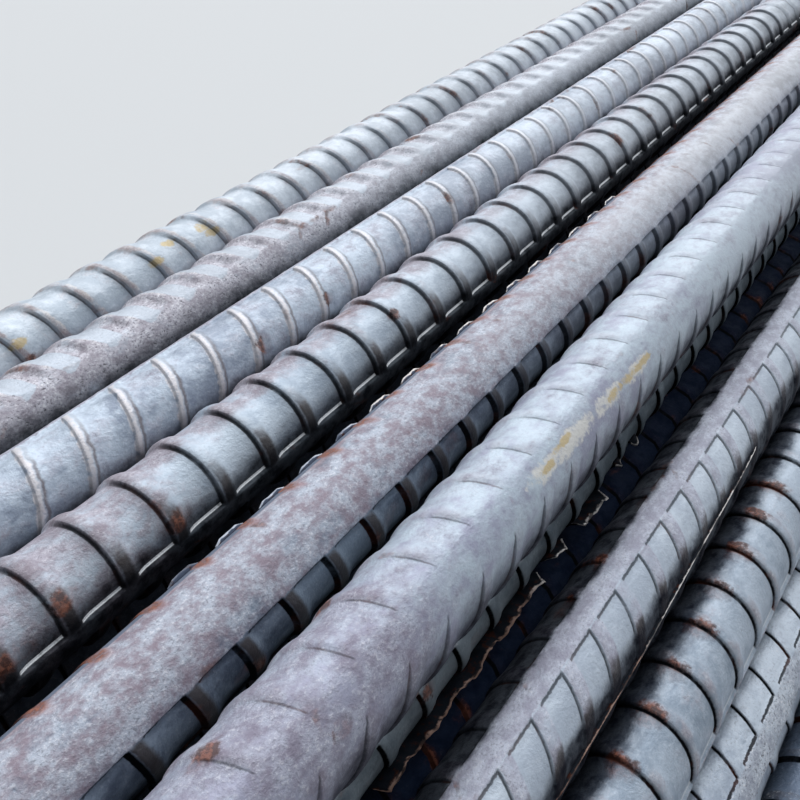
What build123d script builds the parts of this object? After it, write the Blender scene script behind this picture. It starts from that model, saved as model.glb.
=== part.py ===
from build123d import *
import math
import os

# A bundle of 25 mm deformed reinforcing bars in five nested rows, held by wire ties.
# Millimetres. X runs along the bars, +Z is up, and the loose, sloping flank faces -Y.
# The origin is in the middle of the bundle, on the floor that it lies on.

# Each bar is the round envelope that its ribs reach. The ribs themselves are fine relief.
bar_core_diameter = 24.2
rib_height = 1.6
bar_length = 6000.0
bar_end_chamfer = 0.8
bar_seat_clearance = 0.3

# The bars are not pushed flush at the ends: each is this much out of line at most.
end_stagger = 14.0
shuffle_stride = 17

# Places across the bundle, in bar spacings, from the foot of the loose flank.
# The first places of a row are chosen bar by bar, and the rest follow at even_step.
even_step = 1.05
row_starts = [
    [0.20, 1.85, 2.90, 4.40],
    [1.03, 2.375, 3.65, 4.925],
    [1.54, 3.12, 4.175, 5.45],
    [2.29, 3.50, 4.70, 5.975],
    [3.24, 4.42, 5.62, 6.65, 7.68, 8.70],
]
row_counts = [10, 9, 8, 7, 6]
row_names = ["floor", "second", "third", "fourth", "top"]

# Wire ties, pulled tight round the bundle. The wire's two ends lie side by side in the valley
# between two bars of the top row, folded over along the bars.
tie_wire_diameter = 6.0
tie_clearance = 0.3
tie_count = 4
tie_end_distance = 750.0
tie_tail_length = 45.0
tie_tail_gap = 0.3
tie_tail_valley = 4

bar_diameter = bar_core_diameter + 2 * rib_height
bar_spacing = bar_diameter + bar_seat_clearance


def row_places(starts, count):
    """Places of one row across the bundle, in millimetres from the foot of the flank."""
    places = list(starts)
    while len(places) < count:
        places.append(places[-1] + even_step)
    return [place * bar_spacing for place in places]


def resting_height(place, laid):
    """Height at which a bar let down at this place comes to rest on the bars laid before."""
    height = tie_wire_diameter + tie_clearance + bar_diameter / 2
    for other_place, other_height in laid:
        sideways = abs(place - other_place)
        if sideways < bar_spacing:
            height = max(height, other_height + math.sqrt(bar_spacing**2 - sideways**2))
    return height


def lay_bars():
    """The rows of bar centres, each as (place, height), laid from the floor upwards."""
    laid = []
    rows = []
    for starts, count in zip(row_starts, row_counts):
        row = [(place, resting_height(place, laid)) for place in row_places(starts, count)]
        laid += row
        rows.append(row)
    middle = (min(rows[0])[0] + max(rows[0])[0]) / 2
    return [[(place - middle, height) for place, height in row] for row in rows]


def end_shift(number):
    """How far a bar is out of line: evenly spread both ways, in a shuffled order."""
    steps = sum(row_counts) - 1
    shuffled = number * shuffle_stride % (steps + 1)
    return end_stagger * (2 * shuffled / steps - 1)


def bar(place, height, number):
    """One straight bar along X, sheared square with its arrises just broken."""
    stock = Cylinder(bar_diameter / 2, bar_length, rotation=(0, 90, 0))
    stock = chamfer(stock.edges().filter_by(GeomType.CIRCLE), bar_end_chamfer)
    return Pos(end_shift(number), place, height) * stock


def turns_left(first, second, third):
    """True if the way from the first point over the second to the third bends anticlockwise."""
    ahead = (second[0] - first[0], second[1] - first[1])
    onward = (third[0] - first[0], third[1] - first[1])
    return ahead[0] * onward[1] - ahead[1] * onward[0] > 0


def girth(centres):
    """The bars that a taut loop bends round, in anticlockwise order."""
    corners = []
    for ordered in (sorted(centres), sorted(centres, reverse=True)):
        side = []
        for centre in ordered:
            while len(side) > 1 and not turns_left(side[-2], side[-1], centre):
                side.pop()
            side.append(centre)
        corners += side[:-1]
    return [Vector(0, *corner) for corner in corners]


def wire(start, direction, length):
    """A straight run of the tie's wire."""
    section = Circle(tie_wire_diameter / 2)
    return extrude(Plane(origin=start, z_dir=direction) * section, amount=length)


def wire_reach():
    """Distance from a bar's centre to the centre of the wire that goes round it."""
    return bar_diameter / 2 + tie_clearance + tie_wire_diameter / 2


def tie_tails(top_row):
    """The wire's two ends, laid down in the valley and side by side."""
    left, right = [Vector(0, *centre) for centre in top_row[tie_tail_valley - 1 : tie_tail_valley + 1]]
    apart = tie_wire_diameter + tie_tail_gap
    across = (right - left).normalized()
    outward = Vector(1, 0, 0).cross(across)
    beside = ((right - left).length - apart) / 2
    depth = math.sqrt(wire_reach() ** 2 - beside**2)
    starts = [left + across * beside + outward * depth, right - across * beside + outward * depth]
    under_loop = Vector(-tie_wire_diameter / 2, 0, 0)
    return [wire(start + under_loop, (1, 0, 0), tie_tail_length) for start in starts]


def tie(rows):
    """A wire loop round the bundle, straight between the bars that it bends round, and its ends."""
    corners = girth([centre for row in rows for centre in row])
    along = Vector(1, 0, 0)
    pieces = []
    for before, corner, after in zip(corners[-1:] + corners, corners, corners[1:] + corners[:1]):
        bend_start = (corner - before).normalized().cross(along)
        bend_end = (after - corner).normalized().cross(along)
        bend = Torus(
            wire_reach(),
            tie_wire_diameter / 2,
            major_angle=bend_start.get_angle(bend_end),
            align=None,
        )
        pieces.append(Plane(origin=corner, x_dir=bend_start, z_dir=along) * bend)
        run = after - corner
        pieces.append(wire(corner + bend_end * wire_reach(), run, run.length))
    return Part() + pieces + tie_tails(rows[-1])


os.makedirs("parts", exist_ok=True)
bar_rows = lay_bars()

bars_made = 0
for row_name, row in zip(row_names, bar_rows):
    for position, (place, height) in enumerate(row, start=1):
        export_step(bar(place, height, bars_made), f"parts/bar_{row_name}_{position}.step")
        bars_made += 1

one_tie = tie(bar_rows)
end_station = bar_length / 2 - tie_end_distance
for tie_number in range(tie_count):
    station = end_station * (2 * tie_number / (tie_count - 1) - 1)
    export_step(Pos(station, 0, 0) * one_tie, f"parts/tie_wire_{tie_number + 1}.step")
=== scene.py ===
from dataclasses import dataclass, replace
import math

import bpy
import numpy as np
from mathutils import Matrix, Vector


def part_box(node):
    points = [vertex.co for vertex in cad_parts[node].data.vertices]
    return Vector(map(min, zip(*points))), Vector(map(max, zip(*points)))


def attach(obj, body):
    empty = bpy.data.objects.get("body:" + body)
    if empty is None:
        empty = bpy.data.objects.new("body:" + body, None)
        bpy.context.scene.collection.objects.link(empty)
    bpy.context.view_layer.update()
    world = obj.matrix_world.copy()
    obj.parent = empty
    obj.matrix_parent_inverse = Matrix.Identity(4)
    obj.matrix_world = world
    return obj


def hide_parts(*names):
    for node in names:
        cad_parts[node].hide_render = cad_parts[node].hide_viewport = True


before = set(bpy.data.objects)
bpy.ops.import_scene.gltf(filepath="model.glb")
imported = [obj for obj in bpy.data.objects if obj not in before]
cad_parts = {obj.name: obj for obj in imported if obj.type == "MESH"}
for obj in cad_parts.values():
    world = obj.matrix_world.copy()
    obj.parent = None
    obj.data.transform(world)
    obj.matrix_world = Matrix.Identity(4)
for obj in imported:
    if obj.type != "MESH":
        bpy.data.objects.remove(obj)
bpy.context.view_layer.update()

# The looks of a tied bundle of hot-rolled ribbed bars. Lengths are in millimetres until a mesh is made.
# X runs along the bars. Angles go round a bar in degrees, from straight up, positive towards -Y.
MM = 0.001

# The bar itself: its ribs and its lengthwise bands reach crest_radius, and the core lies lower by a
# roll's relief.
crest_radius = 13.6
end_bevel = 0.8

# One rib along the bar: (distance from its near foot, share of its height), closely and coarsely.
# The near flank is stretched to each roll's own width, or worn to a gentle slope this long.
fine_flank = [(-0.12, 0.0), (0.1, 0.08), (0.35, 0.35), (0.75, 0.85), (1.0, 0.97)]
fine_back = [(1.9, 1.0), (3.3, 0.95), (4.4, 0.74), (5.8, 0.3), (7.2, 0.06), (9.0, 0.0)]
coarse_rib = [(0.0, 0.0, 0.0), (2.0, 1.0, 0.0), (6.5, 0.0, 0.0)]
no_rib = [(0.0, 0.0, 0.0)]
gentle_slope = (-1.7, 1.7)

# The stretch along X that is seen from close by gets the fine mesh, and the ribs go on in a coarse one
# as far as ribbed_to on the bars that show. Beyond that, and in the pile's inside, the ribs are bump,
# apart from each bar's last ribbed_end.
fine_from = -395.0
fine_to = 215.0
ribbed_to = 1000.0
ribbed_end = 90.0


@dataclass
class Roll:
    """How one bar was rolled. Its two bands are at the angles band and band + 180.

    foot is the x of one rib's near foot at the angle at, on the side that follows the first band.
    lean is how far a rib moves along the bar per degree. The back values are the other side's.
    relief is how far ribs and bands stand proud, and flank how wide a rib's near flank is.
    width is how wide a rib is beside the usual one, and wall how many degrees a band's edge takes.
    The near flanks are steep as far as the first angle of gentle, and worn from the second one on.
    """
    band: float
    half_band: float
    pitch: float
    foot: float
    at: float
    lean: float
    back_foot: float
    back_at: float
    back_lean: float
    relief: float = 1.3
    flank: float = 1.0
    width: float = 1.0
    wall: float = 3.4
    gentle: tuple = (-400.0, -500.0)


# The bars that show, from the far side of the pile down to the floor on the loose side.
rolls = {
    "bar_top_6": Roll(-80, 8, 15.0, -247.6, 34, 0.05, -240, 180, 0.05, relief=1.2, flank=0.6,
                      width=1.4, gentle=(24.0, 2.0)),
    "bar_top_5": Roll(-121, 31, 15.7, -240.8, -7, 0.05, -233, 150, 0.05, relief=1.2, flank=0.9,
                      width=1.25, wall=14.0, gentle=(100.0, 60.0)),
    "bar_top_4": Roll(-29, 3.5, 16.1, -287.6, 22, -0.10, -280, -90, -0.10, relief=0.9, flank=0.6,
                      width=0.7),
    "bar_top_3": Roll(-87, 8.5, 16.9, -194.0, 0, 0.0, -186, 180, 0.0, relief=1.3, flank=0.55,
                      gentle=(-16.0, -42.0)),
    "bar_top_2": Roll(9, 46.5, 15.6, -220.2, 55, 0.07, -226.0, -40, 0.05, relief=1.4, flank=1.0),
    "bar_top_1": Roll(41.5, 17.5, 15.3, -254.4, 60, -0.10, -264.8, 3, 0.055, relief=0.75, flank=0.5,
                      wall=20.0, gentle=(62.0, 50.0)),
    "bar_fourth_2": Roll(40, 24, 16.4, -252.3, 67, 0.06, -244, -40, 0.03, relief=1.0, flank=0.6),
    "bar_fourth_1": Roll(-5.25, 13.75, 15.9, -196.7, 8.5, -0.13, -204.0, -40, 0.0, relief=0.6, flank=0.5),
    "bar_third_1": Roll(-78, 7, 17.3, -176.4, 27, -0.03, -168, 180, 0.0, relief=1.1, flank=0.9),
    "bar_second_1": Roll(-132, 14, 16.1, -180.5, 16, -0.12, -172, 150, 0.1, relief=0.7, flank=0.6),
    "bar_floor_1": Roll(-88, 7, 16.6, -170.0, 0, 0.0, -162, 180, 0.0, relief=1.1, flank=0.9),
}
# Bars that show between those, or on the pile's far flank.
outer = ["bar_floor_10", "bar_second_9", "bar_third_8", "bar_fourth_7", "bar_second_2", "bar_third_2"]


def spread(begin, end, step):
    """Angles strictly between begin and end, evenly spaced at most step apart."""
    count = max(int(math.ceil((end - begin) / step)), 1)
    return list(np.linspace(begin, end, count + 1)[1:-1])


def columns(roll, step, wall):
    """The mesh's columns round a bar: their angles, how much of a band each is, and x offsets.

    wall lists (share of the wall's width, share of its height) from a band's edge down to the core.
    """
    angles, shares = [], []

    def add(angle, share):
        angles.append(angle)
        shares.append(share)

    for turn in (0, 180):
        middle = roll.band + turn
        add(middle - roll.half_band, 1.0)
        for angle in spread(middle - roll.half_band, middle + roll.half_band, step):
            add(angle, 1.0)
        add(middle + roll.half_band, 1.0)
        for along, share in wall:
            add(middle + roll.half_band + roll.wall * along, share)
        side_end = middle + 180 - roll.half_band - roll.wall
        for angle in spread(middle + roll.half_band + roll.wall, side_end, step):
            add(angle, 0.0)
        for along, share in reversed(wall):
            add(middle + 180 - roll.half_band - roll.wall * along, share)
    angles = np.array(angles)

    # Ribs of the two sides are apart, and their offsets run into each other across the bands.
    front = roll.lean * (angles - roll.at)
    back_angles = angles - 360
    gap = roll.back_foot - roll.foot
    start = roll.band - roll.half_band
    apart = gap + roll.back_lean * (start - roll.back_at) - roll.lean * (start - roll.at)
    gap -= round(apart / roll.pitch) * roll.pitch
    back = gap + roll.back_lean * (back_angles - roll.back_at)
    back_start = gap + roll.back_lean * (angles - roll.back_at)
    into_front = np.clip((angles - start) / (2 * roll.half_band), 0, 1)
    into_back = np.clip((angles - start - 180) / (2 * roll.half_band), 0, 1)
    offsets = (back_start * (1 - into_front) + front * into_front) * (angles < start + 90)
    offsets += (front * (1 - into_back) + back * into_back) * (angles >= start + 90)
    from_edge = roll.half_band - np.abs((angles - roll.band + 90) % 180 - 90)
    edge = from_edge * math.radians(1) * crest_radius
    return angles, np.array(shares), offsets, edge


class Skin:
    """Collects grids of points and faces and turns them into one mesh."""

    def __init__(self):
        self.points, self.faces, self.slots, self.uvs = [], [], [], []
        self.edges, self.plains = [], []
        self.count = 0

    def add_points(self, points, edge, plain=False):
        first = self.count
        self.points.append(points)
        self.edges.append(edge)
        self.plains.append(np.full(len(points), float(plain)))
        self.count += len(points)
        return first

    def add_faces(self, faces, uvs, slot=0):
        self.faces.append(np.asarray(faces))
        self.uvs.append(np.asarray(uvs, float).reshape(-1, 2))
        self.slots.append(np.full(len(faces), slot))

    def mesh(self, name):
        data = bpy.data.meshes.new(name)
        sizes = np.concatenate([np.full(len(f), f.shape[1]) for f in self.faces])
        corners = np.concatenate([f.ravel() for f in self.faces])
        starts = np.concatenate([[0], np.cumsum(sizes)[:-1]])
        data.vertices.add(self.count)
        data.vertices.foreach_set("co", (np.concatenate(self.points) * MM).ravel())
        data.loops.add(len(corners))
        data.loops.foreach_set("vertex_index", corners)
        data.polygons.add(len(sizes))
        data.polygons.foreach_set("loop_start", starts)
        data.polygons.foreach_set("material_index", np.concatenate(self.slots))
        data.polygons.foreach_set("use_smooth", np.ones(len(sizes), bool))
        data.uv_layers.new(name="rolled").data.foreach_set("uv", np.concatenate(self.uvs).ravel())
        for attribute, values in (("edge", self.edges), ("plain", self.plains)):
            layer = data.attributes.new(attribute, "FLOAT", "POINT")
            layer.data.foreach_set("value", np.concatenate(values))
        data.update(calc_edges=True)
        data.validate()
        return data


def steel_piece(name, skin, materials):
    """An object of this skin, which rides on the bundle's one body."""
    piece = bpy.data.objects.new(name, skin.mesh(name))
    bpy.context.scene.collection.objects.link(piece)
    for material in materials:
        piece.data.materials.append(material)
    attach(piece, "root")
    return piece


def place(x, angle, radius, centre):
    """Points from the distance along a bar, the angle round it and the radius."""
    turn = np.radians(angle)
    return np.stack([x, centre[0] - radius * np.sin(turn), centre[1] + radius * np.cos(turn)], -1)


def add_stretch(skin, roll, centre, ends, numbers, stop, rib, step, wall):
    """One stretch of a bar, as a closed tube whose rows follow the ribs of these numbers, up to stop."""
    angles, shares, offsets, edge = columns(roll, step, wall)
    marks = [(number + along / roll.pitch, share, worn) for number in numbers
             for along, share, worn in rib]
    marks.append((stop + rib[0][0] / roll.pitch, *rib[0][1:]))
    marks = np.array(marks)
    steep, soft = roll.gentle
    softness = np.clip(((angles + 180) % 360 - 180 - steep) / (soft - steep), 0, 1)
    x = roll.foot + marks[:, :1] * roll.pitch + offsets[None, :] + marks[:, 2:] * softness[None, :]
    keep = (x.max(1) > ends[0] + end_bevel) & (x.min(1) < ends[1] - end_bevel)
    first_kept = max(int(np.argmax(keep)) - 1, 0)
    last_kept = min(len(keep) - int(np.argmax(keep[::-1])), len(keep) - 1)
    marks, x = marks[first_kept:last_kept + 1], x[first_kept:last_kept + 1]
    x = np.clip(x, ends[0] + end_bevel, ends[1] - end_bevel)
    height = 1 - (1 - marks[:, 1:2]) * (1 - shares[None, :])
    radius = crest_radius - roll.relief * (1 - height)
    rows, across = x.shape
    around = np.broadcast_to(angles, x.shape)
    first = skin.add_points(place(x, around, radius, centre).reshape(-1, 3),
                            np.broadcast_to(edge, x.shape).ravel(), rib is no_rib)

    row, column = np.meshgrid(np.arange(rows - 1), np.arange(across), indexing="ij")
    beside = (column + 1) % across
    faces = first + np.stack([row * across + column, row * across + beside,
                              (row + 1) * across + beside, (row + 1) * across + column], -1)
    round_here = np.append(angles, angles[0] + 360) / 360
    along = marks[:, :1] + marks[:, 2:] * softness[None, :] / roll.pitch
    uvs = np.stack([np.stack([along[row + over, (column + on) % across], round_here[column + on]], -1)
                    for over, on in ((0, 0), (0, 1), (1, 1), (1, 0))], -2)
    skin.add_faces(faces.reshape(-1, 4), uvs)

    for row_here, end, outward in ((0, ends[0], -1), (rows - 1, ends[1], 1)):
        rim = x[row_here]
        at_end = bool(np.ptp(rim) < 1e-6)
        ring = first + row_here * across + np.arange(across)
        if at_end:
            bevel = place(rim + outward * end_bevel, angles, radius[row_here] - end_bevel, centre)
            outer_ring = skin.add_points(bevel, np.zeros(across)) + np.arange(across)
            band = np.stack([ring, outer_ring, np.roll(outer_ring, -1), np.roll(ring, -1)], -1)
            skin.add_faces(band if outward < 0 else band[:, ::-1], np.zeros((across, 4, 2)), 1)
            ring = outer_ring
        else:
            ring = skin.add_points(place(rim, angles, radius[row_here], centre), edge) + np.arange(across)
        middle = place(np.array([end if at_end else rim.mean()]), np.zeros(1), np.zeros(1), centre)
        hub = skin.add_points(middle, np.zeros(1))
        fan = np.stack([np.full(across, hub), np.roll(ring, -1), ring], -1)
        skin.add_faces(fan if outward < 0 else fan[:, ::-1], np.zeros((across, 3, 2)), 1)


# A band's wall, closely and coarsely, as columns() takes it.
fine_wall = [(0.3, 0.86), (0.7, 0.2), (1.0, 0.0)]
coarse_wall = [(1.0, 0.0)]

# Degrees between the mesh's columns: where it is fine or plain, on coarse ribs and at a bar's ends.
fine_step = 7.5
coarse_step = 36.0
end_step = 15.0
# A bar's ribs are laid out this far beyond its ends, and cut off there.
overrun = 60.0

# Bars without a roll of their own take turns at the rolls, each turned and shifted by its number.
roll_stride = 7
turn_stride = 47
shift_stride = 3.7


def build_bar(node, materials):
    """One ribbed bar that stands for its CAD node."""
    low, high = (np.array(corner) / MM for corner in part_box(node))
    centre = (low + high)[1:] / 2
    ends = (low[0], high[0])
    number = sorted(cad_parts).index(node)
    roll = rolls.get(node)
    if roll is None:
        kind = list(rolls.values())[number * roll_stride % len(rolls)]
        twist = number * turn_stride % 360
        shift = number * shift_stride
        roll = replace(kind, band=kind.band + twist, foot=kind.foot + shift, at=kind.at + twist,
                       back_foot=kind.back_foot + shift, back_at=kind.back_at + twist,
                       gentle=Roll.gentle)
    slope = np.linspace(*gentle_slope, len(fine_flank))
    fine_rib = [(along * roll.flank, share, worn - along * roll.flank)
                for (along, share), worn in zip(fine_flank, slope)]
    fine_rib += [(along * roll.width, share, 0.0) for along, share in fine_back]

    # The stretches, as (where it begins, its ribs, the degrees between its columns).
    plan = [(ends[0] - overrun, coarse_rib, end_step), (ends[0] + ribbed_end, no_rib, fine_step),
            (ends[1] - ribbed_end, coarse_rib, end_step)]
    if node in rolls:
        plan += [(-ribbed_to, coarse_rib, coarse_step), (fine_from, fine_rib, fine_step),
                 (fine_to, coarse_rib, coarse_step), (ribbed_to, no_rib, fine_step)]
    elif node in outer:
        plan += [(fine_from, coarse_rib, coarse_step), (fine_to, no_rib, fine_step)]
    plan = sorted(((round((x - roll.foot) / roll.pitch), rib, step) for x, rib, step in plan),
                  key=lambda part: part[0])
    stops = [part[0] for part in plan[1:]] + [round((ends[1] + overrun - roll.foot) / roll.pitch)]
    skin = Skin()
    for (number, rib, step), stop in zip(plan, stops):
        numbers = [number] if rib is no_rib else range(number, stop)
        wall = fine_wall if rib is fine_rib else coarse_wall
        add_stretch(skin, roll, centre, ends, numbers, stop, rib, step, wall)
    piece = steel_piece(f"ribbed_{node}", skin, materials)
    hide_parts(node)


def build_fin(name, node, path, heights, lean, thickness, ragged, material):
    """A fin of steel, squeezed out when the bar was rolled, along a path of (x, angle) points.

    Its tip leans over from the path by this many degrees, and wavers by about ragged degrees.
    """
    low, high = (np.array(corner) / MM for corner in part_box(node))
    centre = (low + high)[1:] / 2
    x = np.arange(path[0][0], path[-1][0], 0.4)
    turn = np.interp(x, *zip(*path))
    wave = 0.6 * np.sin(0.33 * x + 1) + 0.28 * np.sin(0.9 * x) + 0.12 * np.sin(2.3 * x + 2)
    share = 0.5 + 0.5 * wave
    near_end = np.clip(np.minimum(x - x[0], x[-1] - x) / 2.0, 0.1, 1)
    tip = crest_radius + (heights[0] + (heights[1] - heights[0]) * share) * near_end
    bend = turn + lean + ragged * (np.sin(0.47 * x) + 0.25 * np.sin(1.3 * x + 1))
    half = math.degrees(thickness / 2 / crest_radius)
    root = np.full(len(x), crest_radius - 1.5)
    lines = [place(x, turn - half, root, centre), place(x, bend - 0.6 * half, tip, centre),
             place(x, bend + 0.6 * half, tip, centre), place(x, turn + half, root, centre)]
    skin = Skin()
    rows = len(x)
    skin.add_points(np.stack(lines, 1).reshape(-1, 3), np.tile([0.0, 1.0, 1.0, 0.0], rows))
    row, column = np.meshgrid(np.arange(rows - 1), np.arange(4), indexing="ij")
    beside = (column + 1) % 4
    faces = np.stack([row * 4 + column, row * 4 + beside,
                      (row + 1) * 4 + beside, (row + 1) * 4 + column], -1)
    last = 4 * (rows - 1)
    faces = np.concatenate([faces.reshape(-1, 4), [[3, 2, 1, 0], [last, last + 1, last + 2, last + 3]]])
    skin.add_faces(faces, np.zeros((len(faces), 4, 2)))
    steel_piece(name, skin, [material])


class Paint:
    """Builds one material's nodes. Its numbers are in millimetres on the object."""

    def __init__(self, name):
        self.material = bpy.data.materials.new(name)
        self.material.use_nodes = True
        self.tree = self.material.node_tree
        self.shader = self.tree.nodes["Principled BSDF"]
        place_on = self.tree.nodes.new("ShaderNodeTexCoord").outputs["Object"]
        self.where = self.vector("SCALE", place_on, scale=1 / MM)

    def wire(self, socket, source):
        if isinstance(source, bpy.types.NodeSocket):
            self.tree.links.new(source, socket)
        elif isinstance(source, tuple) and len(source) == 3 and socket.type == "RGBA":
            socket.default_value = (*source, 1)
        else:
            socket.default_value = source

    def vector(self, operation, first, second=None, scale=None):
        node = self.tree.nodes.new("ShaderNodeVectorMath")
        node.operation = operation
        self.wire(node.inputs[0], first)
        if second is not None:
            self.wire(node.inputs[1], second)
        if scale is not None:
            self.wire(node.inputs["Scale"], scale)
        return node.outputs["Value" if operation == "DOT_PRODUCT" else "Vector"]

    def math(self, operation, *values):
        node = self.tree.nodes.new("ShaderNodeMath")
        node.operation = operation
        for socket, value in zip(node.inputs, values):
            self.wire(socket, value)
        return node.outputs[0]

    def times(self, product, *factors):
        for factor in factors:
            product = self.math("MULTIPLY", product, factor)
        return product

    def attribute(self, name):
        node = self.tree.nodes.new("ShaderNodeAttribute")
        node.attribute_name = name
        return node.outputs["Fac"]

    def split(self, vector):
        """The three parts of a vector."""
        node = self.tree.nodes.new("ShaderNodeSeparateXYZ")
        self.wire(node.inputs[0], vector)
        return list(node.outputs)

    def ramp(self, value, low, high, to_low=0.0, to_high=1.0):
        """Goes smoothly from to_low to to_high as value goes from low to high."""
        node = self.tree.nodes.new("ShaderNodeMapRange")
        node.interpolation_type = "SMOOTHSTEP"
        for socket, number in zip(node.inputs, (value, low, high, to_low, to_high)):
            self.wire(socket, number)
        return node.outputs[0]

    def between(self, value, begins, full, fading, ends):
        """1 from full to fading, and 0 before begins and past ends."""
        return self.times(self.ramp(value, begins, full), self.ramp(value, ends, fading))

    def noise(self, grain, detail=3.0, roughness=0.55, stretch=(1, 1, 1), shift=0.0):
        """Noise whose lumps are about grain millimetres across, longer along X by stretch."""
        node = self.tree.nodes.new("ShaderNodeTexNoise")
        spot = self.vector("MULTIPLY_ADD", self.where, tuple(1 / (grain * s) for s in stretch))
        spot.node.inputs[2].default_value = (shift, shift * 1.7, shift * 0.6)
        self.wire(node.inputs["Vector"], spot)
        node.inputs["Scale"].default_value = 1.0
        node.inputs["Detail"].default_value = detail
        node.inputs["Roughness"].default_value = roughness
        return node.outputs["Fac"]

    def mix(self, share, first, second):
        node = self.tree.nodes.new("ShaderNodeMix")
        node.data_type = "RGBA"
        self.wire(node.inputs["Factor"], share)
        self.wire(node.inputs[6], first)
        self.wire(node.inputs[7], second)
        return node.outputs[2]

    def bump(self, height, depth, below=None):
        """Relief of that depth in millimetres, on top of what is below."""
        node = self.tree.nodes.new("ShaderNodeBump")
        node.inputs["Distance"].default_value = depth * MM
        self.wire(node.inputs["Height"], height)
        if below is not None:
            self.wire(node.inputs["Normal"], below)
        return node.outputs[0]


@dataclass
class Look:
    """How one bar has weathered. Colours are linear, shares run from 0 to 1, lengths are in millimetres.

    pale and deep are the scale's tones, film and film_pale the film's, tint the brown stain's, rib the
    painted highlight's on the ribs' crests and clean the paler steel's, which is partly painted light.
    A span is the angle round the bar where something begins and the angle where it is full.
    rib_top is how far past its near foot a rib's top begins and ends.
    line is how dark the painted shade on the ribs' near flanks is, and line_width how wide. wall is how
    dark the painted shade on the bands' walls is, and glint how bright their painted highlight is.
    film_shares are how much of the pockets, the ribs and the bands the worn film covers.
    facet is the middle and half the width, in degrees, of the clean oval in each pocket.
    A spot is its x and angle, half its length and half its width in degrees.
    cleaner is how much of the dirt the bar loses along X, from clean_from to clean_to, down to clean, and
    the more so towards -Y round the bar, where the paler steel is painted light on the flanks.
    soiled is how much film there is where the bar comes forward, from soiled_to to soiled_from.
    """
    pale: tuple = (0.40, 0.46, 0.54)
    deep: tuple = (0.20, 0.25, 0.32)
    film: tuple = (0.30, 0.285, 0.335)
    film_pale: tuple = (0.43, 0.44, 0.505)
    film_shares: tuple = (0.35, 0.7, 0.9)
    film_span: tuple = (-190.0, -200.0)
    facet: tuple = ()
    rib_top: tuple = (0.9, 4.2)
    rib: tuple = ()
    tint: tuple = (0.15, 0.115, 0.115)
    tint_share: float = 0.5
    speckle: float = 0.6
    rust: float = 0.35
    rusty_edge: tuple = ()
    line: float = 1.0
    line_width: float = 0.6
    line_span: tuple = (-210.0, -200.0)
    line_end: tuple = (210.0, 200.0)
    wall: float = 0.0
    glint: float = 0.0
    # The next three fields are painted shade: a colour that darkens the sides turned from the light and
    # where bars nestle, and the spans of angle where it does so.
    painted_shade: tuple = (0.022, 0.026, 0.034)
    painted_shade_right: tuple = (62.0, 105.0)
    painted_shade_left: tuple = (-190.0, -200.0)
    brown_end: tuple = (190.0, 200.0)
    cleaner: float = 0.35
    # clean is the paler steel; towards -Y round the bar it stands for light on the flanks, as painted
    # light.
    clean: tuple = (0.55, 0.60, 0.67)
    soiled: float = 0.0
    rust_spots: tuple = ()
    chalk_spots: tuple = ()
    ochre_spots: tuple = ()
    gloss: float = 0.5


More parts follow.
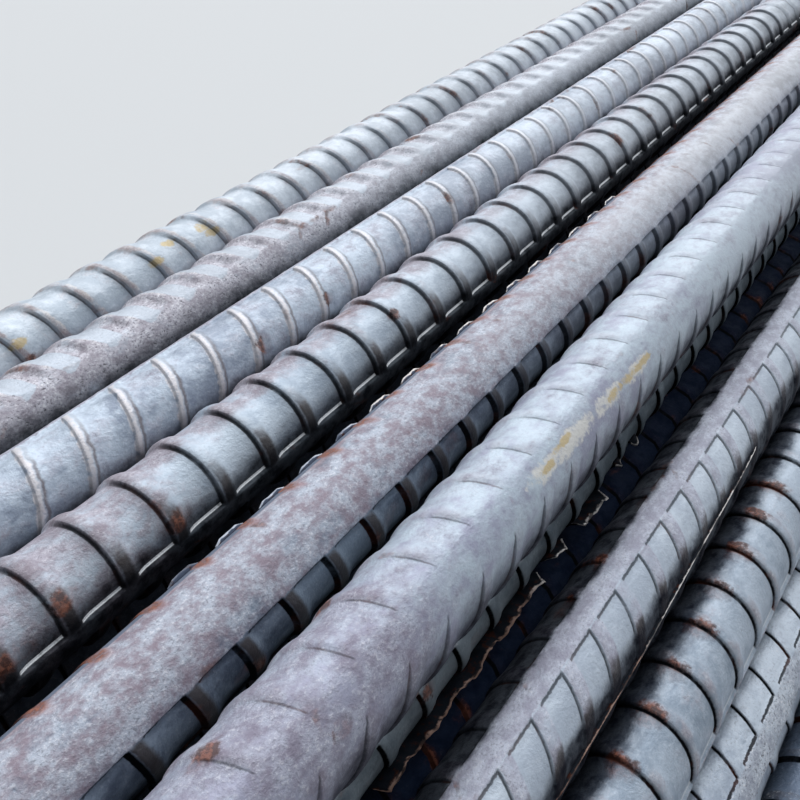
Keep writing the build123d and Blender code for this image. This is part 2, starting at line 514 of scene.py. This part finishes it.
looks = {
    "bar_top_6": Look(
        pale=(0.55, 0.61, 0.68), deep=(0.36, 0.42, 0.49), film=(0.33, 0.29, 0.325),
        film_pale=(0.54, 0.51, 0.54), film_shares=(0.5, 0.8, 0.9), facet=(28.0, 62.0),
        tint=(0.26, 0.18, 0.15), tint_share=0.35, rust=0.5, line=0.7, line_width=0.05,
        line_span=(4.0, 18.0), line_end=(78.0, 60.0), painted_shade=(0.08, 0.052, 0.045),
        painted_shade_right=(60.0, 86.0), cleaner=0.75,
        rust_spots=((-257, 71, 5, 10), (-290, 60, 5, 9)),
        ochre_spots=((-175, 24, 3, 10), (-174, 40, 3, 8), (-191, 20, 3, 9), (-201, 39, 3, 7),
                     (-259, 44, 3, 7))),
    "bar_top_5": Look(
        pale=(0.44, 0.49, 0.565), deep=(0.37, 0.41, 0.475), film=(0.33, 0.30, 0.35),
        film_pale=(0.56, 0.545, 0.61), film_shares=(0.9, 0.95, 1.0), facet=(-16.0, 48.0), speckle=1.3,
        rust=0.3, tint=(0.24, 0.19, 0.20), tint_share=0.12, line=0.0, painted_shade=(0.02, 0.026, 0.030),
        painted_shade_right=(34.0, 74.0), cleaner=0.75),
    "bar_top_4": Look(
        pale=(0.50, 0.58, 0.68), deep=(0.24, 0.285, 0.37), film=(0.26, 0.245, 0.31),
        film_pale=(0.44, 0.45, 0.54), film_shares=(0.55, 0.4, 1.0), rib=(0.64, 0.62, 0.65),
        tint_share=0.0, speckle=0.7, rust=0.25, line=0.0, painted_shade_right=(52.0, 88.0), cleaner=0.55,
        rust_spots=((-222, 54, 4, 12), (-190, 52, 3, 9))),
    "bar_top_3": Look(
        pale=(0.53, 0.61, 0.70), deep=(0.36, 0.43, 0.52), film=(0.26, 0.225, 0.27),
        film_pale=(0.40, 0.375, 0.44), film_shares=(0.25, 0.5, 0.3), film_span=(44.0, -6.0),
        tint=(0.12, 0.08, 0.07), tint_share=0.2, speckle=0.5, rust=0.35, line=0.88, line_width=0.25,
        line_span=(-38.0, -2.0), glint=1.0, painted_shade=(0.006, 0.008, 0.012), painted_shade_right=(47.0, 80.0),
        brown_end=(30.0, 58.0), gloss=0.1, cleaner=1.0, soiled=0.8,
        rust_spots=((-193, 35, 3, 9), (-292, 62, 5, 10), (-326, 50, 5, 12), (-340, 65, 6, 12))),
    "bar_top_2": Look(
        pale=(0.25, 0.31, 0.39), deep=(0.10, 0.13, 0.185), film=(0.25, 0.205, 0.25),
        film_pale=(0.43, 0.465, 0.545), film_shares=(0.0, 0.1, 1.0), tint_share=0.0, speckle=0.6,
        rust=0.4, rusty_edge=(-33.0, -20.0), line=1.0, line_width=0.7, wall=0.7,
        painted_shade=(0.005, 0.006, 0.008), painted_shade_right=(92.0, 122.0), painted_shade_left=(-42.0, -54.0),
        brown_end=(48.0, 62.0), cleaner=0.85, clean=(0.62, 0.64, 0.69),
        rust_spots=((-225, 74, 4, 14), (-240, 78, 4, 14), (-312, 96, 5, 12), (-256, 84, 4, 12))),
    "bar_top_1": Look(
        pale=(0.44, 0.52, 0.60), deep=(0.29, 0.30, 0.40), film=(0.225, 0.205, 0.27),
        film_pale=(0.38, 0.39, 0.48), film_shares=(0.5, 0.5, 0.5), tint=(0.26, 0.215, 0.26),
        tint_share=0.35, speckle=0.5, rust=0.15, line=0.6, line_width=0.1, line_span=(-26.0, -10.0),
        painted_shade=(0.05, 0.052, 0.068), painted_shade_right=(58.0, 104.0), cleaner=0.5, soiled=0.85,
        rust_spots=((-322, 51, 4, 8), (-300, -54, 5, 12), (-342, -22, 5, 10)),
        chalk_spots=((-218, 43, 12, 11), (-234, 42, 8, 9), (-196, 46, 9, 9), (-178, 49, 10, 8)),
        ochre_spots=((-184, 48, 8, 5), (-173, 49, 7, 4), (-194, 47, 4, 5), (-233, 43, 4, 4),
                     (-222, 38, 5, 4))),
    "bar_fourth_2": Look(
        pale=(0.36, 0.43, 0.49), deep=(0.21, 0.26, 0.31), film=(0.30, 0.31, 0.36),
        film_pale=(0.44, 0.48, 0.53), film_shares=(0.3, 0.3, 0.6), tint_share=0.0, speckle=1.0, rust=0.35,
        line=1.0, line_width=0.4, painted_shade=(0.006, 0.008, 0.013), painted_shade_right=(116.0, 128.0), cleaner=0.0,
        rust_spots=((-288, 62, 4, 12), (-281, 74, 4, 10), (-258, 90, 4, 10))),
    "bar_fourth_1": Look(
        pale=(0.56, 0.63, 0.72), deep=(0.42, 0.48, 0.57), film=(0.37, 0.37, 0.46),
        film_pale=(0.55, 0.58, 0.68), film_shares=(0.15, 0.9, 1.0), rib_top=(0.4, 6.0),
        tint=(0.14, 0.10, 0.12), tint_share=0.2, speckle=0.55, rust=0.2, line=0.8, line_width=0.08,
        line_end=(62.0, 54.0), wall=0.7, painted_shade=(0.008, 0.009, 0.018), painted_shade_right=(48.0, 68.0),
        painted_shade_left=(-13.0, -24.0), brown_end=(44.0, 58.0), cleaner=0.3,
        rust_spots=((-192, -22, 4, 9), (-219, -25, 4, 9), (-240, -32, 5, 10))),
    "bar_third_1": Look(
        pale=(0.42, 0.49, 0.58), deep=(0.25, 0.31, 0.39), film=(0.31, 0.29, 0.345),
        film_pale=(0.46, 0.47, 0.54), film_shares=(0.4, 0.6, 0.9), tint=(0.13, 0.065, 0.05),
        tint_share=0.3, speckle=0.7, rust=0.4, line=1.0, line_width=0.3, glint=0.45,
        painted_shade=(0.010, 0.013, 0.026), painted_shade_right=(100.0, 130.0), painted_shade_left=(6.0, -18.0), cleaner=0.1,
        rust_spots=((-157, -4, 4, 20), (-141, 0, 4, 20), (-176, -2, 4, 20), (-211, 2, 4, 20),
                    (-228, -2, 4, 20), (-245, -2, 4, 20), (-263, -4, 4, 20), (-194, 0, 4, 18))),
    "bar_second_1": Look(
        pale=(0.57, 0.64, 0.73), deep=(0.36, 0.42, 0.51), film=(0.32, 0.345, 0.42),
        film_pale=(0.56, 0.61, 0.69), film_shares=(0.3, 0.45, 0.9), tint_share=0.0, speckle=1.2,
        rust=0.05, line=1.0, line_width=0.25, wall=0.9, cleaner=0.1),
    "bar_floor_1": Look(
        pale=(0.11, 0.15, 0.22), deep=(0.04, 0.055, 0.09), film=(0.06, 0.065, 0.09),
        film_pale=(0.10, 0.115, 0.15), tint_share=0.0, rust=0.1, line_width=0.8, glint=0.6,
        painted_shade=(0.008, 0.010, 0.016), painted_shade_right=(60.0, 90.0), cleaner=0.0),
    # bar_third_2 is near black all round, a painted shade for the gap it shows through.
    "bar_third_2": Look(
        pale=(0.016, 0.032, 0.075), deep=(0.006, 0.010, 0.026), film=(0.07, 0.014, 0.013),
        film_pale=(0.022, 0.020, 0.040), film_shares=(0.2, 0.7, 0.5), tint=(0.07, 0.015, 0.01),
        speckle=0.3, rust=0.75, line_width=0.8, painted_shade=(0.012, 0.022, 0.052), painted_shade_right=(-210.0, -200.0),
        cleaner=0.0),
    # The pile's inside: dark all over, a painted shade for the bars it hides.
    "shaded_inside": Look(
        pale=(0.08, 0.10, 0.135), deep=(0.03, 0.04, 0.055), film=(0.06, 0.045, 0.045),
        film_pale=(0.09, 0.09, 0.105), film_shares=(0.3, 0.6, 0.6), tint_share=0.3, speckle=0.4, rust=0.4,
        painted_shade_right=(190.0, 200.0), cleaner=0.0),
}

# Colours that the bars share.
dark_rust = (0.075, 0.026, 0.018)
warm_rust = (0.27, 0.095, 0.055)
ochre = (0.50, 0.37, 0.15)
chalk = (0.66, 0.65, 0.62)
# The black of the painted shade on the ribs' near flanks and the bands' walls.
flank_shade_black = (0.008, 0.009, 0.012)
# The dark brown the ribs turn to towards the bar's lower side.
lower_rib_brown = (0.050, 0.038, 0.034)
# The colour of the painted highlight on the bands' walls.
wall_highlight_white = (0.74, 0.76, 0.78)
bright_grain = (0.74, 0.74, 0.78)
dark_pit = (0.085, 0.08, 0.095)
rib_shade = (0.13, 0.10, 0.10)
# The colour of the painted highlight round the clean ovals in the pockets.
facet_highlight = (0.62, 0.60, 0.60)
edge_stain = (0.40, 0.22, 0.22)
hollow_blue = (0.15, 0.18, 0.245)
# Where the scale is deep, the paler steel, partly painted light, keeps this share of its colour.
clean_and_lit_dark = 0.72

# Along X the bars get cleaner from clean_from to clean_to, and some of the dirt comes back over the
# stretch clean_again. The film thickens from soiled_from to soiled_to.
clean_from = -270.0
clean_to = 40.0
clean_again = (250.0, 700.0)
soiled_from = -235.0
soiled_to = -310.0

# The paint counts every pitch as the usual one, and this share of it as lying before the rib's foot.
usual_pitch = 16.0
before_foot = 0.25
# The clean oval in a pocket: its middle past the rib's foot, and half its length.
facet_middle = 8.2
facet_half = 5.4


class Steel(Paint):
    """Hot-rolled steel: blue-grey scale, a worn film on what stands proud, dark rib feet, grime and rust.

    The colour is built up in layers. Each step takes the colour below and returns it with its own on top.
    """

    def __init__(self, name, look):
        super().__init__(name)
        self.look = look
        self.measure()
        colour = self.worn_film(self.mix(self.tone, look.deep, look.pale))
        if look.rib:
            colour = self.rib_highlights_and_shade(colour)
        if look.facet:
            colour = self.facet_rim_highlights(colour)
        colour = self.stain(colour)
        colour = self.grains(colour)
        # Paler steel where the bar is cleaner along X, and towards -Y round it, where it is painted light.
        clean_and_lit_steel = self.mix(self.tone, tuple(clean_and_lit_dark * c for c in look.clean), look.clean)
        colour = self.mix(self.cleaned_and_lit, colour, clean_and_lit_steel)
        colour = self.brown_ribs_and_painted_shade(colour)
        colour = self.rusted(colour)
        colour = self.spotted(colour)
        colour = self.painted_flank_shade(colour)
        if look.glint:
            colour = self.painted_wall_highlights(colour)
        self.wire(self.shader.inputs["Base Color"], colour)
        self.finish()

    def measure(self):
        """Finds what the layers follow: the noises, the places round the ribs and bands, and the angle."""
        look = self.look
        rolled = self.tree.nodes.new("ShaderNodeUVMap")
        rolled.uv_map = "rolled"
        ribs_passed, turns_round, _ = self.split(rolled.outputs[0])
        self.true_edge = self.attribute("edge")
        self.along = self.split(self.where)[0]

        blotch = self.noise(34, 2, stretch=(1.8, 1, 1))
        self.cloud = self.noise(8, 5, 0.62, (1.5, 1, 1), 3.1)
        self.patch = self.noise(3.6, 4, 0.62, (1.3, 1, 1), 5.4)
        self.crumb = self.noise(1.5, 3, 0.65, (1, 1, 1), 7.7)
        self.grit = self.noise(0.75, 3, 0.7, (1.2, 1, 1), 1.3)
        self.rust_cloud = self.noise(14, 4, 0.62, (1.5, 1, 1), 11.0)
        self.frayed = self.math("MULTIPLY_ADD", self.crumb, 1.0, -0.5)
        uneven = self.math("MULTIPLY_ADD", self.patch, 3.6, -1.8)
        self.uneven = self.math("MULTIPLY_ADD", self.frayed, 2.4, uneven)
        tone = self.math("ADD", blotch, self.cloud)
        tone = self.math("ADD", tone, self.math("MULTIPLY_ADD", self.patch, 0.7, -0.35))
        self.tone = self.ramp(tone, 0.78, 1.18)

        # Millimetres past a rib's near foot, and past a band's edge towards its middle.
        self.turns = self.math("FRACT", self.math("ADD", ribs_passed, before_foot))
        self.true_foot = self.math("MULTIPLY_ADD", self.turns, usual_pitch, -before_foot * usual_pitch)
        self.past_foot = self.math("ADD", self.true_foot, self.frayed)
        self.past_edge = self.math("ADD", self.true_edge, self.frayed)
        self.angle = self.math("WRAP", self.times(turns_round, 360.0), 180.0, -180.0)
        wander = self.math("MULTIPLY_ADD", self.cloud, 36.0, -18.0)
        self.loose_angle = self.math("ADD", self.angle, wander)

        self.off_band = self.ramp(self.past_edge, -0.9, 0.2, 1.0, 0.0)
        self.on_band = self.ramp(self.past_edge, -0.7, 0.1)
        top_from, top_to = look.rib_top
        on_top = self.between(self.past_foot, top_from - 0.4, top_from + 0.4, top_to - 0.9, top_to + 0.9)
        self.on_rib = self.times(on_top, self.off_band)
        self.in_pocket = self.math("MAXIMUM", self.ramp(self.true_foot, 4.4, 5.0),
                                   self.ramp(self.true_foot, 0.0, -0.3))
        # Cleaner steel along X, and more of it towards -Y round the bar, where the paler steel is painted
        # light.
        self.cleaned_and_lit = self.times(self.ramp(self.along, clean_from, clean_to, 0.0, look.cleaner),
                                  self.ramp(self.loose_angle, -30.0, 15.0, 0.1, 1.0),
                                  self.ramp(self.along, *clean_again, 1.0, 0.35))
        self.kept = self.math("SUBTRACT", 1.0, self.cleaned_and_lit)

    def off_oval(self, lengthways, x, half_length, turn, half_angle, uneven):
        """How far a spot is from an oval's middle: about 1 at its uneven rim."""
        far = self.math("MULTIPLY_ADD", lengthways, 1 / half_length, -x / half_length)
        wide = self.math("MULTIPLY_ADD", self.angle, 1 / half_angle, -turn / half_angle)
        reach = self.math("MULTIPLY_ADD", far, far, self.times(wide, wide))
        return self.math("ADD", reach, uneven)

    def spots(self, places):
        """Soft, uneven patches at these places: 1 in their middles and 0 outside them."""
        found = 0.0
        for x, turn, half_length, half_angle in places:
            reach = self.off_oval(self.along, x, half_length, turn, half_angle, self.uneven)
            found = self.math("MAXIMUM", found, self.ramp(reach, 1.3, 0.2))
        return found

    def worn_film(self, colour):
        """The film, worn thin in places and off the clean oval in each pocket."""
        look = self.look
        pocket_share, rib_share, band_share = look.film_shares
        wanted = self.math("MAXIMUM", self.ramp(self.on_rib, 0, 1, pocket_share, rib_share),
                           self.times(self.on_band, band_share))
        wanted = self.math("MAXIMUM", wanted, self.ramp(self.loose_angle, *look.film_span, 0.0, 0.85))
        if look.soiled:
            soiled = self.ramp(self.along, soiled_from, soiled_to, 0.0, look.soiled)
            wanted = self.math("MAXIMUM", wanted, soiled)
        if look.facet:
            uneven = self.math("MULTIPLY_ADD", self.patch, 0.8, -0.4)
            self.off_facet = self.off_oval(self.past_foot, facet_middle, facet_half, *look.facet, uneven)
            facet = self.ramp(self.off_facet, 1.3, 0.8)
            wanted = self.times(wanted, self.ramp(facet, 0, 1, 1.0, 0.2))
        film = self.math("ADD", wanted, self.math("MULTIPLY_ADD", self.cloud, 1.7, -1.35))
        self.film = self.ramp(self.math("ADD", film, self.times(self.frayed, 0.5)), -0.05, 0.5)
        rubbed = self.math("ADD", self.patch, self.times(self.frayed, 0.2))
        mottled = self.mix(self.ramp(rubbed, 0.32, 0.66), look.film, look.film_pale)
        return self.mix(self.film, colour, mottled)

    def rib_highlights_and_shade(self, colour):
        """A painted highlight on the ribs' crests beside their near feet, and painted shade behind."""
        rough_foot = self.math("ADD", self.past_foot, self.math("MULTIPLY_ADD", self.patch, 3.0, -1.5))
        # worn is the painted highlight along the crests, broken up by noise; shaded is the painted shade.
        worn = self.times(self.between(rough_foot, -0.4, 0.3, 1.4, 2.5),
                          self.ramp(self.crumb, 0.3, 0.5, 0.4, 1.0), self.off_band)
        shaded = self.times(self.between(rough_foot, 1.9, 2.7, 2.9, 4.2),
                            self.ramp(self.angle, -20.0, 35.0, 0.15, 0.75), self.off_band)
        return self.mix(worn, self.mix(shaded, colour, rib_shade), self.look.rib)

    def facet_rim_highlights(self, colour):
        """A painted highlight: a pale, broken rim round each clean oval."""
        rim = self.times(self.between(self.off_facet, 0.9, 1.15, 1.3, 1.7),
                         self.ramp(self.true_foot, 4.5, 2.5), self.ramp(self.patch, 0.42, 0.6), 0.7)
        return self.mix(rim, colour, facet_highlight)

    def stain(self, colour):
        """A brownish stain that spreads over each rib from its near foot."""
        off_band = self.times(self.off_band, self.ramp(self.cloud, 0.35, 0.6))
        stained = self.times(self.between(self.past_foot, -0.3, 0.6, 0.6, 5.0), off_band, self.kept,
                             self.look.tint_share)
        return self.mix(stained, colour, self.look.tint)

    def grains(self, colour):
        """Pits and bright worn grains, most of all where the film is."""
        share = self.times(self.ramp(self.film, 0, 1, 0.3, 1.0), self.look.speckle,
                           self.ramp(self.patch, 0.36, 0.62, 0.3, 1.0))
        bright = self.times(self.ramp(self.grit, 0.55, 0.64), share, 0.75)
        pits = self.times(self.ramp(self.grit, 0.45, 0.36), share, 0.75)
        return self.mix(pits, self.mix(bright, colour, bright_grain), dark_pit)

    def brown_ribs_and_painted_shade(self, colour):
        """Ribs turning brown lower down, and painted shade where bars nestle and turn from the light."""
        look = self.look
        browned = self.times(self.on_rib, self.kept, self.ramp(self.loose_angle, *look.brown_end), 0.9)
        # Painted shade on the sides turned from the light and where the bars nestle together.
        painted_shade = self.math("MAXIMUM", self.ramp(self.loose_angle, *look.painted_shade_right),
                          self.ramp(self.loose_angle, *look.painted_shade_left))
        self.painted_shade = self.times(painted_shade, self.ramp(self.patch, 0.3, 0.6, 0.97, 0.85))
        return self.mix(self.painted_shade, self.mix(browned, colour, lower_rib_brown), look.painted_shade)

    def rusted(self, colour):
        """Rust in clouds, on the ribs beside their feet, along the bands' edges and in spots."""
        look = self.look
        by_edge = self.math("ABSOLUTE", self.past_edge)
        near_corner = self.math("MAXIMUM", self.ramp(self.past_foot, 3.2, 0.6),
                                self.ramp(by_edge, 2.2, 0.2))
        near_corner = self.times(near_corner, self.ramp(self.past_foot, -0.6, 0.0), 0.12)
        rust_here = self.math("ADD", self.rust_cloud, near_corner)
        level = 0.82 - 0.22 * look.rust
        rust = self.times(self.ramp(rust_here, level - 0.06, level + 0.10), 0.8)
        if look.rust_spots:
            by_rib = self.times(self.ramp(self.past_foot, -1.2, 0.3, 0.25, 1.0),
                                self.ramp(self.past_foot, 5.5, 3.5, 0.25, 1.0))
            rust = self.math("MAXIMUM", rust, self.times(self.spots(look.rust_spots), by_rib, 0.85))
        if look.rusty_edge:
            low, high = look.rusty_edge
            off_middle = self.math("ABSOLUTE", self.math("SUBTRACT", self.turns, 0.37))
            waved = self.math("ADD", self.loose_angle, self.ramp(off_middle, 0.02, 0.22, -5.0, 10.0))
            crusted = self.times(self.ramp(waved, high, low), self.ramp(self.crumb, 0.36, 0.54, 0.3, 0.9))
            colour = self.mix(self.ramp(waved, high + 8, low + 4, 0.0, 0.6), colour, edge_stain)
            rust = self.math("MAXIMUM", rust, crusted)
            hollow = self.times(self.ramp(self.angle, low + 4.5, low + 2.5), self.in_pocket)
        self.rust = rust
        rust_colour = self.mix(self.ramp(self.crumb, 0.42, 0.62), dark_rust, warm_rust)
        colour = self.mix(rust, colour, rust_colour)
        return self.mix(hollow, colour, hollow_blue) if look.rusty_edge else colour

    def spotted(self, colour):
        """Spots of chalk and ochre."""
        for places, strength, paint in ((self.look.chalk_spots, 0.9, chalk),
                                        (self.look.ochre_spots, 0.75, ochre)):
            if places:
                colour = self.mix(self.times(self.spots(places), strength), colour, paint)
        return colour

    def painted_flank_shade(self, colour):
        """Painted shade on the ribs' near flanks and the bands' walls, turning to dark rust in places."""
        look = self.look
        at_foot = self.math("MULTIPLY_ADD", self.frayed, 0.35, self.true_foot)
        width = look.line_width
        lines = self.times(self.between(at_foot, -0.5, -0.15, width - 0.1, width + 0.3), self.off_band,
                           self.ramp(self.loose_angle, *look.line_span),
                           self.ramp(self.loose_angle, *look.line_end),
                           self.ramp(self.cloud, 0.3, 0.5, 0.7 * look.line, look.line))
        if look.wall:
            by_wall = self.times(self.between(self.past_edge, -1.1, -0.8, -0.4, -0.1), self.in_pocket,
                                 look.wall)
            lines = self.math("MAXIMUM", lines, by_wall)
        self.lines = self.times(lines, self.math("MULTIPLY_ADD", self.cleaned_and_lit, -0.6, 1.0))
        line_colour = self.mix(self.ramp(self.rust_cloud, 0.50, 0.64), flank_shade_black, dark_rust)
        return self.mix(self.lines, colour, line_colour)

    def painted_wall_highlights(self, colour):
        """A painted highlight on the bands' walls."""
        shine = self.times(self.between(self.true_edge, -1.25, -1.15, -0.6, -0.5), self.in_pocket,
                           self.look.glint, self.ramp(self.angle, -20.0, 0.0),
                           self.ramp(self.patch, 0.3, 0.45, 0.5, 1.0))
        return self.mix(shine, colour, wall_highlight_white)

    def finish(self):
        """The gloss, the fine relief and how much of the surface looks like metal."""
        black = self.math("MAXIMUM", self.lines, self.painted_shade)
        dull = self.math("MAXIMUM", self.rust, black)
        rough = self.math("ADD", self.ramp(self.film, 0, 1, 0.52 - 0.16 * self.look.gloss, 0.60),
                          self.math("MULTIPLY_ADD", self.cloud, 0.2, -0.1))
        rough = self.math("MAXIMUM", rough, self.times(dull, 0.8))
        self.wire(self.shader.inputs["Roughness"], rough)

        # Bump stands in for the ribs and bands where the mesh is plain.
        far_rib = self.times(self.between(self.true_foot, -0.1, 1.2, 3.3, 6.5), self.off_band)
        far_rib = self.times(self.math("MAXIMUM", far_rib, self.on_band), self.attribute("plain"))
        fine = self.bump(self.cloud, 0.25, self.bump(far_rib, 1.2))
        fine = self.bump(self.grit, 0.18, self.bump(self.crumb, 0.2, fine))
        self.wire(fine.node.inputs["Strength"], self.ramp(self.film, 0, 1, 0.45, 1.0))
        self.wire(self.shader.inputs["Normal"], fine)

        # The painted shade on the ribs' flanks and where bars nestle is black as metal is, with none of
        # the pale sheen of a painted surface.
        metal = self.math("MAXIMUM", self.ramp(self.rust, 0.0, 0.6, 0.3, 0.0), black)
        self.wire(self.shader.inputs["Metallic"], metal)


# Along X a fin's tip has its own colour as far as own_tip_to, and is pale from pale_tip_from on.
own_tip_to = -238.0
pale_tip_from = -226.0
pale_tip = (0.70, 0.66, 0.64)
fin_rust = (0.06, 0.022, 0.016)


def torn_fin(name, face, near_tip):
    """Fins: face colour and rust near the bar, bright torn tips. A near-black face is painted shade."""
    paint = Paint(name)
    up = paint.attribute("edge")
    crumb = paint.noise(2.2, 3, 0.6)
    patch = paint.noise(9, 2, 0.5, (1, 0.2, 0.2), 4.0)
    torn = paint.math("ADD", up, paint.math("MULTIPLY_ADD", crumb, 0.5, -0.25))
    bright = paint.times(paint.ramp(torn, 0.80, 0.97), paint.ramp(patch, 0.40, 0.5, 0.25, 1.0))
    colour = paint.mix(paint.ramp(crumb, 0.52, 0.68), face, fin_rust)
    along = paint.split(paint.where)[0]
    tip = paint.mix(paint.ramp(along, pale_tip_from, own_tip_to), pale_tip, near_tip)
    paint.wire(paint.shader.inputs["Base Color"], paint.mix(bright, colour, tip))
    paint.wire(paint.shader.inputs["Roughness"], paint.ramp(bright, 0, 1, 0.8, 0.4))
    paint.wire(paint.shader.inputs["Metallic"], paint.ramp(bright, 0, 1, 0.95, 0.2))
    paint.wire(paint.shader.inputs["Normal"], paint.bump(crumb, 0.2))
    return paint.material


def cut_steel():
    """The sheared ends: torn bright steel that has begun to rust."""
    paint = Paint("sheared_steel")
    cloud = paint.noise(6, 4, 0.6)
    tear = paint.noise(1.1, 3, 0.6, (1, 1, 6))
    colour = paint.mix(paint.ramp(cloud, 0.35, 0.65), (0.20, 0.19, 0.19), (0.15, 0.088, 0.055))
    colour = paint.mix(paint.ramp(tear, 0.35, 0.65, 0.0, 0.8), colour, (0.11, 0.075, 0.058))
    paint.wire(paint.shader.inputs["Base Color"], colour)
    paint.wire(paint.shader.inputs["Roughness"], paint.ramp(cloud, 0.3, 0.7, 0.42, 0.7))
    paint.shader.inputs["Metallic"].default_value = 0.5
    paint.wire(paint.shader.inputs["Normal"], paint.bump(tear, 0.3))
    return paint.material


def annealed_wire():
    """The ties: soft black annealed wire rod with rust coming through."""
    paint = Paint("annealed_wire")
    cloud = paint.noise(7, 4, 0.62)
    grit = paint.noise(0.7, 3, 0.65)
    colour = paint.mix(paint.ramp(cloud, 0.4, 0.6), (0.075, 0.07, 0.07), (0.15, 0.065, 0.03))
    colour = paint.mix(paint.ramp(grit, 0.55, 0.7), colour, (0.24, 0.22, 0.21))
    paint.wire(paint.shader.inputs["Base Color"], colour)
    paint.wire(paint.shader.inputs["Roughness"], paint.ramp(cloud, 0.3, 0.7, 0.4, 0.72))
    paint.shader.inputs["Metallic"].default_value = 0.4
    paint.wire(paint.shader.inputs["Normal"], paint.bump(grit, 0.15))
    return paint.material


# Bars that barely show share the inside's steel, darkened all over as painted shade, and the outer ones
# take turns at the first ten.
outer_stride = 5
outer_steels = 10

steels = {node: Steel(f"steel_{node}", look).material for node, look in looks.items()}
kinds = list(steels.values())
cut = cut_steel()
wire_finish = annealed_wire()
for number, node in enumerate(sorted(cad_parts)):
    if node.startswith("bar"):
        usual = kinds[number * outer_stride % outer_steels] if node in outer else steels["shaded_inside"]
        build_bar(node, [steels.get(node, usual), cut])
    else:
        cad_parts[node].data.materials.clear()
        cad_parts[node].data.materials.append(wire_finish)

# The tall fins' faces are near black, a painted shade; the ridges keep slate faces.
fin_finish = torn_fin("torn_fin", (0.016, 0.02, 0.028), (0.36, 0.22, 0.17))
ridge_finish = torn_fin("worn_ridge", (0.085, 0.105, 0.155), (0.44, 0.48, 0.56))
# Each fin's name, bar, path, least and greatest height, lean, thickness and raggedness.
fins = [
    ("fin_lower", "bar_fourth_2", [(-305, 115), (-225, 114)], (2.4, 3.9), -11, 0.3, 4.0),
    ("fin_middle", "bar_fourth_2", [(-221, 114), (-210, 113)], (2.4, 4.0), -13, 0.3, 4.0),
    ("fin_upper", "bar_fourth_2", [(-204, 114), (-184, 113)], (3.0, 4.3), -12, 0.3, 4.0),
    ("fin_stub_1", "bar_fourth_2", [(-172, 98), (-168, 98)], (1.2, 2.4), 0, 1.2, 6.0),
    ("fin_stub_2", "bar_fourth_2", [(-160, 96), (-155, 96)], (1.2, 2.4), 0, 1.0, 6.0),
    ("fin_straight", "bar_fourth_1",
     [(-285, 79), (-235, 80), (-214, 76), (-192, 73), (-155, 70), (-138, 66)],
     (0.35, 0.4), 0, 0.2, 0.0),
]
# Between the ribs of one bar a low ridge shows along its band.
ridge_start = -310.2
ridge_length = 10.0
ridge_angle = -42
ridge_count = 16
for number in range(ridge_count):
    start = ridge_start + number * rolls["bar_top_2"].pitch
    path = [(start, ridge_angle), (start + ridge_length, ridge_angle)]
    fins.append((f"ridge_{number + 1}", "bar_top_2", path, (0.7, 1.0), 0, 0.5, 0.3))
for name, node, path, heights, lean, thickness, ragged in fins:
    finish = ridge_finish if name.startswith("ridge") else fin_finish
    build_fin(name, node, path, heights, lean, thickness, ragged, finish)

# The floor and the light.
floor_size = 60.0
floor = bpy.data.meshes.new("floor")
corners = [(-floor_size, -floor_size, 0), (floor_size, -floor_size, 0),
           (floor_size, floor_size, 0), (-floor_size, floor_size, 0)]
floor.from_pydata(corners, [], [(0, 1, 2, 3)])
floor_object = bpy.data.objects.new("floor", floor)
bpy.context.scene.collection.objects.link(floor_object)
floor_paint = Paint("floor")
floor_paint.shader.inputs["Base Color"].default_value = (0.64, 0.65, 0.66, 1)
floor_paint.shader.inputs["Roughness"].default_value = 0.8
floor.materials.append(floor_paint.material)

# Soft light: a bright sky beyond the bundle and above it, dimmer behind the camera.
# Its strength goes from sky_dim to sky_bright as the cosine of the angle to sky_from grows.
sky_from = Vector((0.62, 0.35, 0.70)).normalized()
low_cosine = -0.30
high_cosine = 0.90
sky_dim = 0.05
sky_bright = 1.12
world = bpy.data.worlds.new("studio")
bpy.context.scene.world = world
world.use_nodes = True
sky = world.node_tree
background = sky.nodes["Background"]
direction = sky.nodes.new("ShaderNodeTexCoord").outputs["Generated"]
towards = sky.nodes.new("ShaderNodeVectorMath")
towards.operation = "DOT_PRODUCT"
sky.links.new(direction, towards.inputs[0])
towards.inputs[1].default_value = sky_from
fade = sky.nodes.new("ShaderNodeMapRange")
fade.interpolation_type = "SMOOTHSTEP"
for socket, number in zip(list(fade.inputs)[1:5], (low_cosine, high_cosine, sky_dim, sky_bright)):
    socket.default_value = number
sky.links.new(towards.outputs["Value"], fade.inputs[0])
sky.links.new(fade.outputs[0], background.inputs["Strength"])
background.inputs["Color"].default_value = (0.92, 0.96, 1.0, 1)

sun = bpy.data.lights.new("sky_glow", "SUN")
sun.energy = 1.6
sun.angle = math.radians(60)
sun_object = bpy.data.objects.new("sky_glow", sun)
sun_object.rotation_mode = "QUATERNION"
sun_object.rotation_quaternion = (-sky_from).to_track_quat("-Z", "Y")
bpy.context.scene.collection.objects.link(sun_object)

# The camera stands where the photograph's did, and looks along the bars and down on them.
camera_place = Vector((-430.0, -150.9, 283.4)) * MM
camera_right = Vector((0.5253, -0.8509, 0.0))
camera_up = Vector((0.4705, 0.2905, 0.8332))
camera_forward = Vector((0.7090, 0.4377, -0.5529))
lens = bpy.data.cameras.new("camera")
lens.lens = 49.5
lens.sensor_width = 36.0
lens.clip_start = 0.01
lens.clip_end = 200.0
camera = bpy.data.objects.new("camera", lens)
turned = Matrix((camera_right, camera_up, -camera_forward)).transposed().to_4x4()
camera.matrix_world = Matrix.Translation(camera_place) @ turned
bpy.context.scene.collection.objects.link(camera)
bpy.context.scene.camera = camera

bpy.context.scene.view_settings.view_transform = "Standard"
